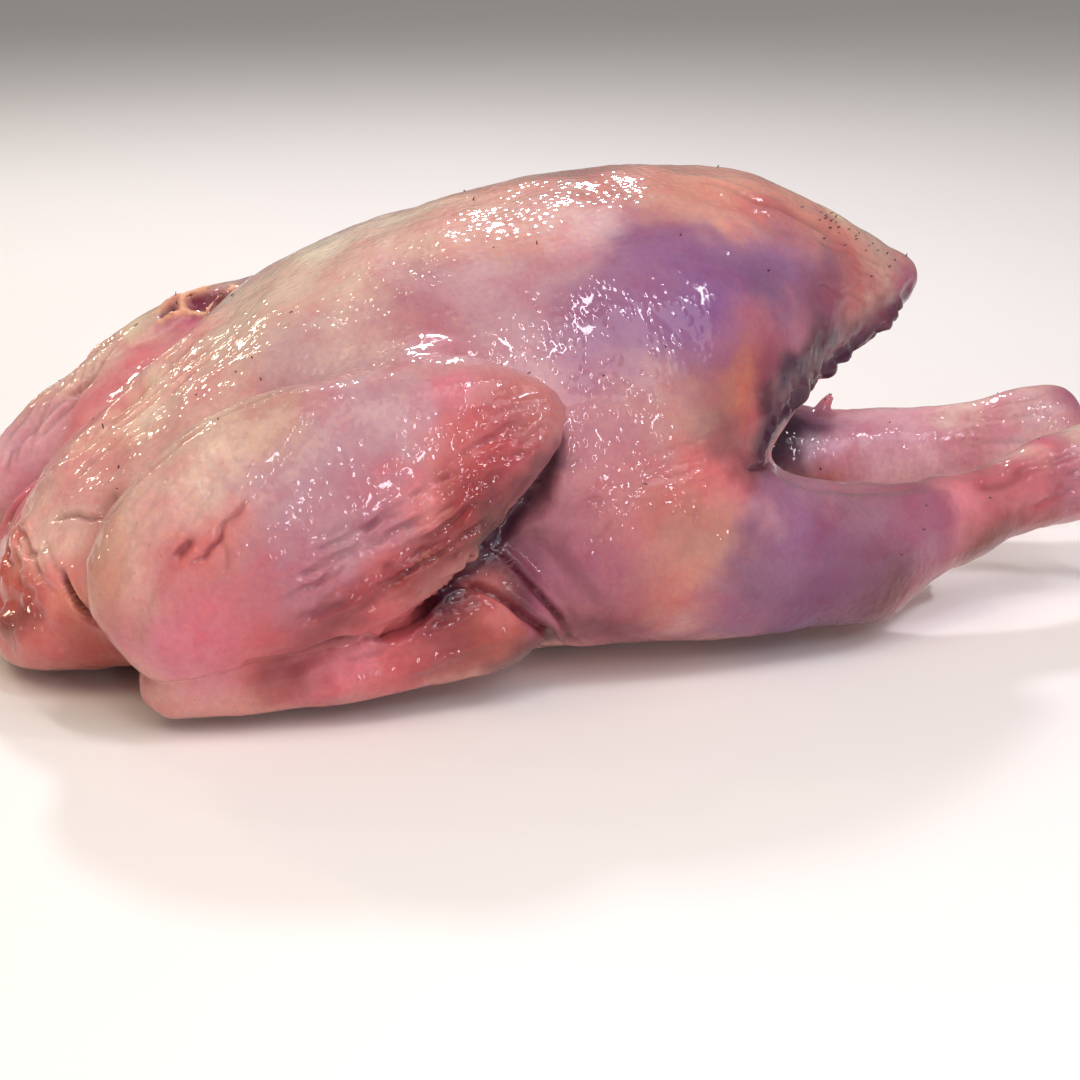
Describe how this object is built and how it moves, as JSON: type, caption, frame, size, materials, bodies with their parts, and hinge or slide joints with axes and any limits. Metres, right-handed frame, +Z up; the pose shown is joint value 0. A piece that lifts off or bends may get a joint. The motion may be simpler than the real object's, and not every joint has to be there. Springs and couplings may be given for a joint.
{
  "type": "whole raw turkey",
  "caption": "Whole raw turkey on its back, breast up, wings folded at its sides, legs stretched out behind, its body hollow and open between the legs.",
  "frame": {"origin": "in the flat spot under the back that the bird rests on, about midway along the body", "axes": "+X from the neck end to the legs, +Z up through the breast, -Y to the bird's right side"},
  "size_m": [0.4778, 0.2543, 0.1757],
  "materials": {
    "skin": "raw poultry skin, wet and glossy, pinkish mauve with peach, yellow fat and purple bruised patches, fine goose bumps"
  },
  "bodies": {
    "root": {"turkey": "skin"}
  },
  "joints": []
}
